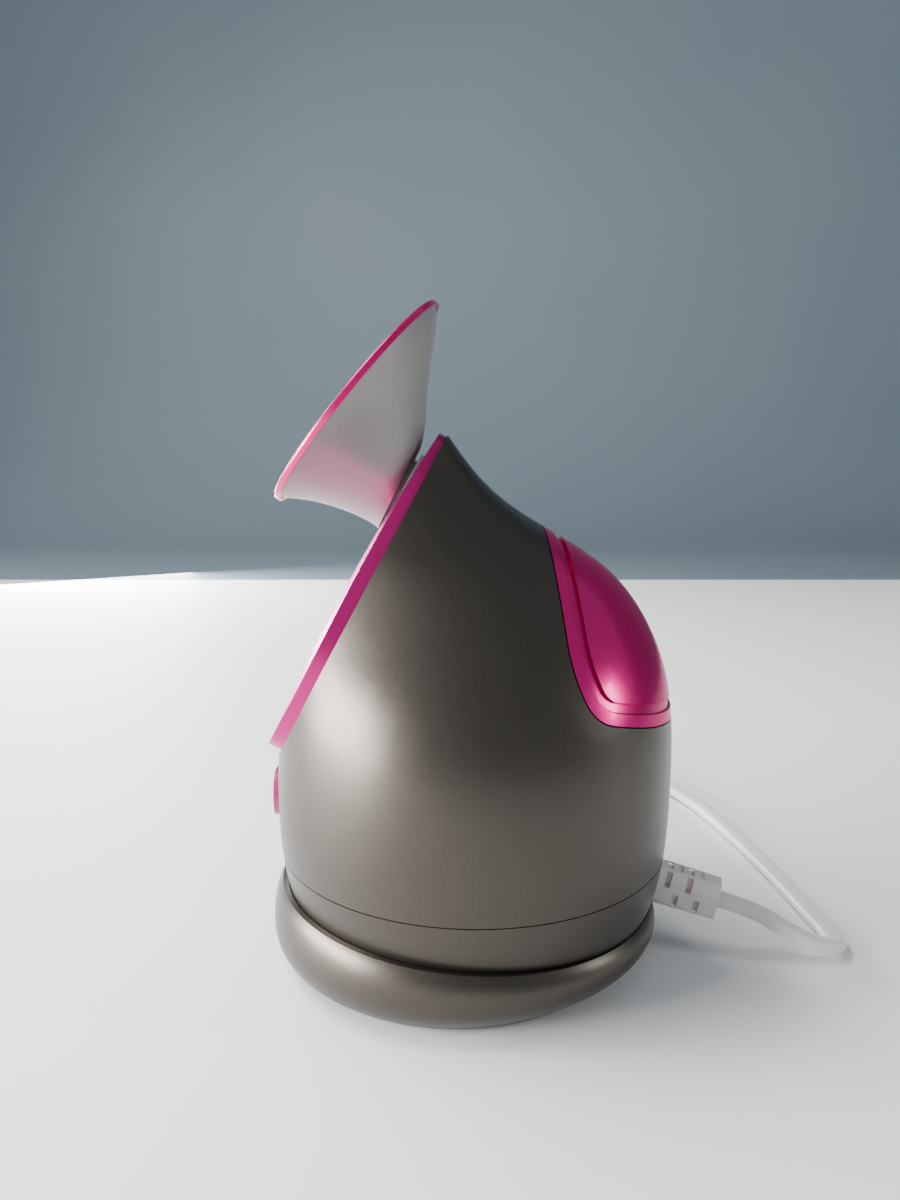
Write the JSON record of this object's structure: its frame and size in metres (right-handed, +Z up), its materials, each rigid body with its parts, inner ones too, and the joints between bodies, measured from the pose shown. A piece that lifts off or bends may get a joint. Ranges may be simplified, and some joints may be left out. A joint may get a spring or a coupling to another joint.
{
  "type": "cool mist humidifier",
  "caption": "Small teardrop table-top cool mist humidifier with a swivelling flared nozzle, a sloping front panel, a lift-out rear water tank, a push button and a power cord.",
  "frame": {"origin": "centre of the base circle, on the table that the feet stand on", "axes": "+Z up; -Y towards the front, where the nozzle, panel and button face; +Y to the rear, where the cord leaves; +X to the right when facing the front"},
  "size_m": [0.2184, 0.1712, 0.187],
  "materials": {
    "housing_paint": "satin champagne-grey metallic lacquer with a fine sparkle",
    "nozzle_paint": "satin metallic lacquer, a little lighter than the housing",
    "panel_magenta": "high-gloss magenta, domed",
    "button_pink": "gloss pink, pressed surface",
    "tank_magenta": "translucent gloss magenta",
    "tank_base_dark": "dark gloss magenta",
    "foot_rubber": "matt black rubber",
    "seal_silicone": "translucent white silicone",
    "inner_plastic": "moulded white plastic",
    "dark_plastic": "moulded black plastic",
    "steel": "plated steel",
    "stainless": "stainless steel",
    "sink_aluminium": "extruded aluminium",
    "copper_winding": "enamelled copper wire",
    "piezo_silver": "silvered brass disc",
    "board_green": "green glass-fibre board",
    "magnet_grey": "sintered ferrite",
    "led_clear": "clear epoxy",
    "cord_white": "warm white flexible PVC",
    "pin_nickel": "nickel-plated brass"
  },
  "bodies": {
    "housing": {"upper_housing": "housing_paint", "lower_housing": "housing_paint", "base_ring": "housing_paint", "rubber_feet": "foot_rubber", "base_plate": "dark_plastic", "base_screws": "steel", "housing_screws": "steel", "front_panel": "panel_magenta", "nozzle_collar": "inner_plastic", "water_basin": "inner_plastic", "basin_gasket": "seal_silicone", "basin_lid": "inner_plastic", "mist_duct": "inner_plastic", "piezo_disc": "piezo_silver", "piezo_seal": "seal_silicone", "piezo_clamp": "stainless", "clamp_screws": "steel", "fan_frame": "dark_plastic", "fan_stator": "copper_winding", "air_duct": "inner_plastic", "power_board": "board_green", "driver_board": "board_green", "switch_board": "board_green", "board_screws": "steel", "power_transformer": "dark_plastic", "power_capacitor": "dark_plastic", "terminal_block": "inner_plastic", "heat_sink": "sink_aluminium", "driver_transistor": "dark_plastic", "tact_switch": "dark_plastic", "indicator_led": "led_clear", "strain_relief": "cord_white", "inner_leads": "cord_white", "power_cord": "cord_white", "cord_coil": "cord_white", "plug_body": "cord_white", "plug_blades": "pin_nickel"},
    "nozzle": {"nozzle_bell": "nozzle_paint", "nozzle_rim": "panel_magenta", "nozzle_seal": "seal_silicone", "nozzle_clip": "stainless"},
    "tank": {"tank_shell": "tank_magenta", "tank_base": "tank_base_dark"},
    "cap": {"tank_cap": "inner_plastic", "cap_seal": "seal_silicone", "spring_cage": "inner_plastic"},
    "valve": {"valve_plunger": "inner_plastic", "valve_seal": "seal_silicone", "valve_spring": "stainless"},
    "button": {"power_button": "button_pink", "switch_plunger": "inner_plastic"},
    "fan": {"fan_impeller": "dark_plastic"},
    "float": {"water_float": "inner_plastic", "float_magnet": "magnet_grey"}
  },
  "joints": [
    {"name": "nozzle_swivel", "type": "hinge", "parent": "housing", "child": "nozzle", "pos_m": [0, -0.01456, 0.13373], "axis": [0, -0.8813, 0.4726], "continuous": true},
    {"name": "tank_lift", "type": "slide", "parent": "housing", "child": "tank", "axis": [0, 0, 1], "range_m": [0, 0.06]},
    {"name": "cap_turn", "type": "hinge", "parent": "tank", "child": "cap", "pos_m": [0, 0.04, 0.064], "axis": [0, 0, 1], "range_deg": [0, 90]},
    {"name": "valve_open", "type": "slide", "parent": "cap", "child": "valve", "axis": [0, 0, 1], "range_m": [0, 0.0025], "stiffness_N_per_m": 60, "springref_m": -0.002, "deforming": ["valve_spring"]},
    {"name": "button_press", "type": "slide", "parent": "housing", "child": "button", "axis": [0, 1, 0], "range_m": [0, 0.0012], "stiffness_N_per_m": 400, "springref_m": -0.0005},
    {"name": "fan_spin", "type": "hinge", "parent": "housing", "child": "fan", "pos_m": [-0.01, -0.009, 0.01], "axis": [0, 0, 1], "continuous": true},
    {"name": "float_rise", "type": "slide", "parent": "housing", "child": "float", "axis": [0, 0, 1], "range_m": [0, 0.005]}
  ]
}
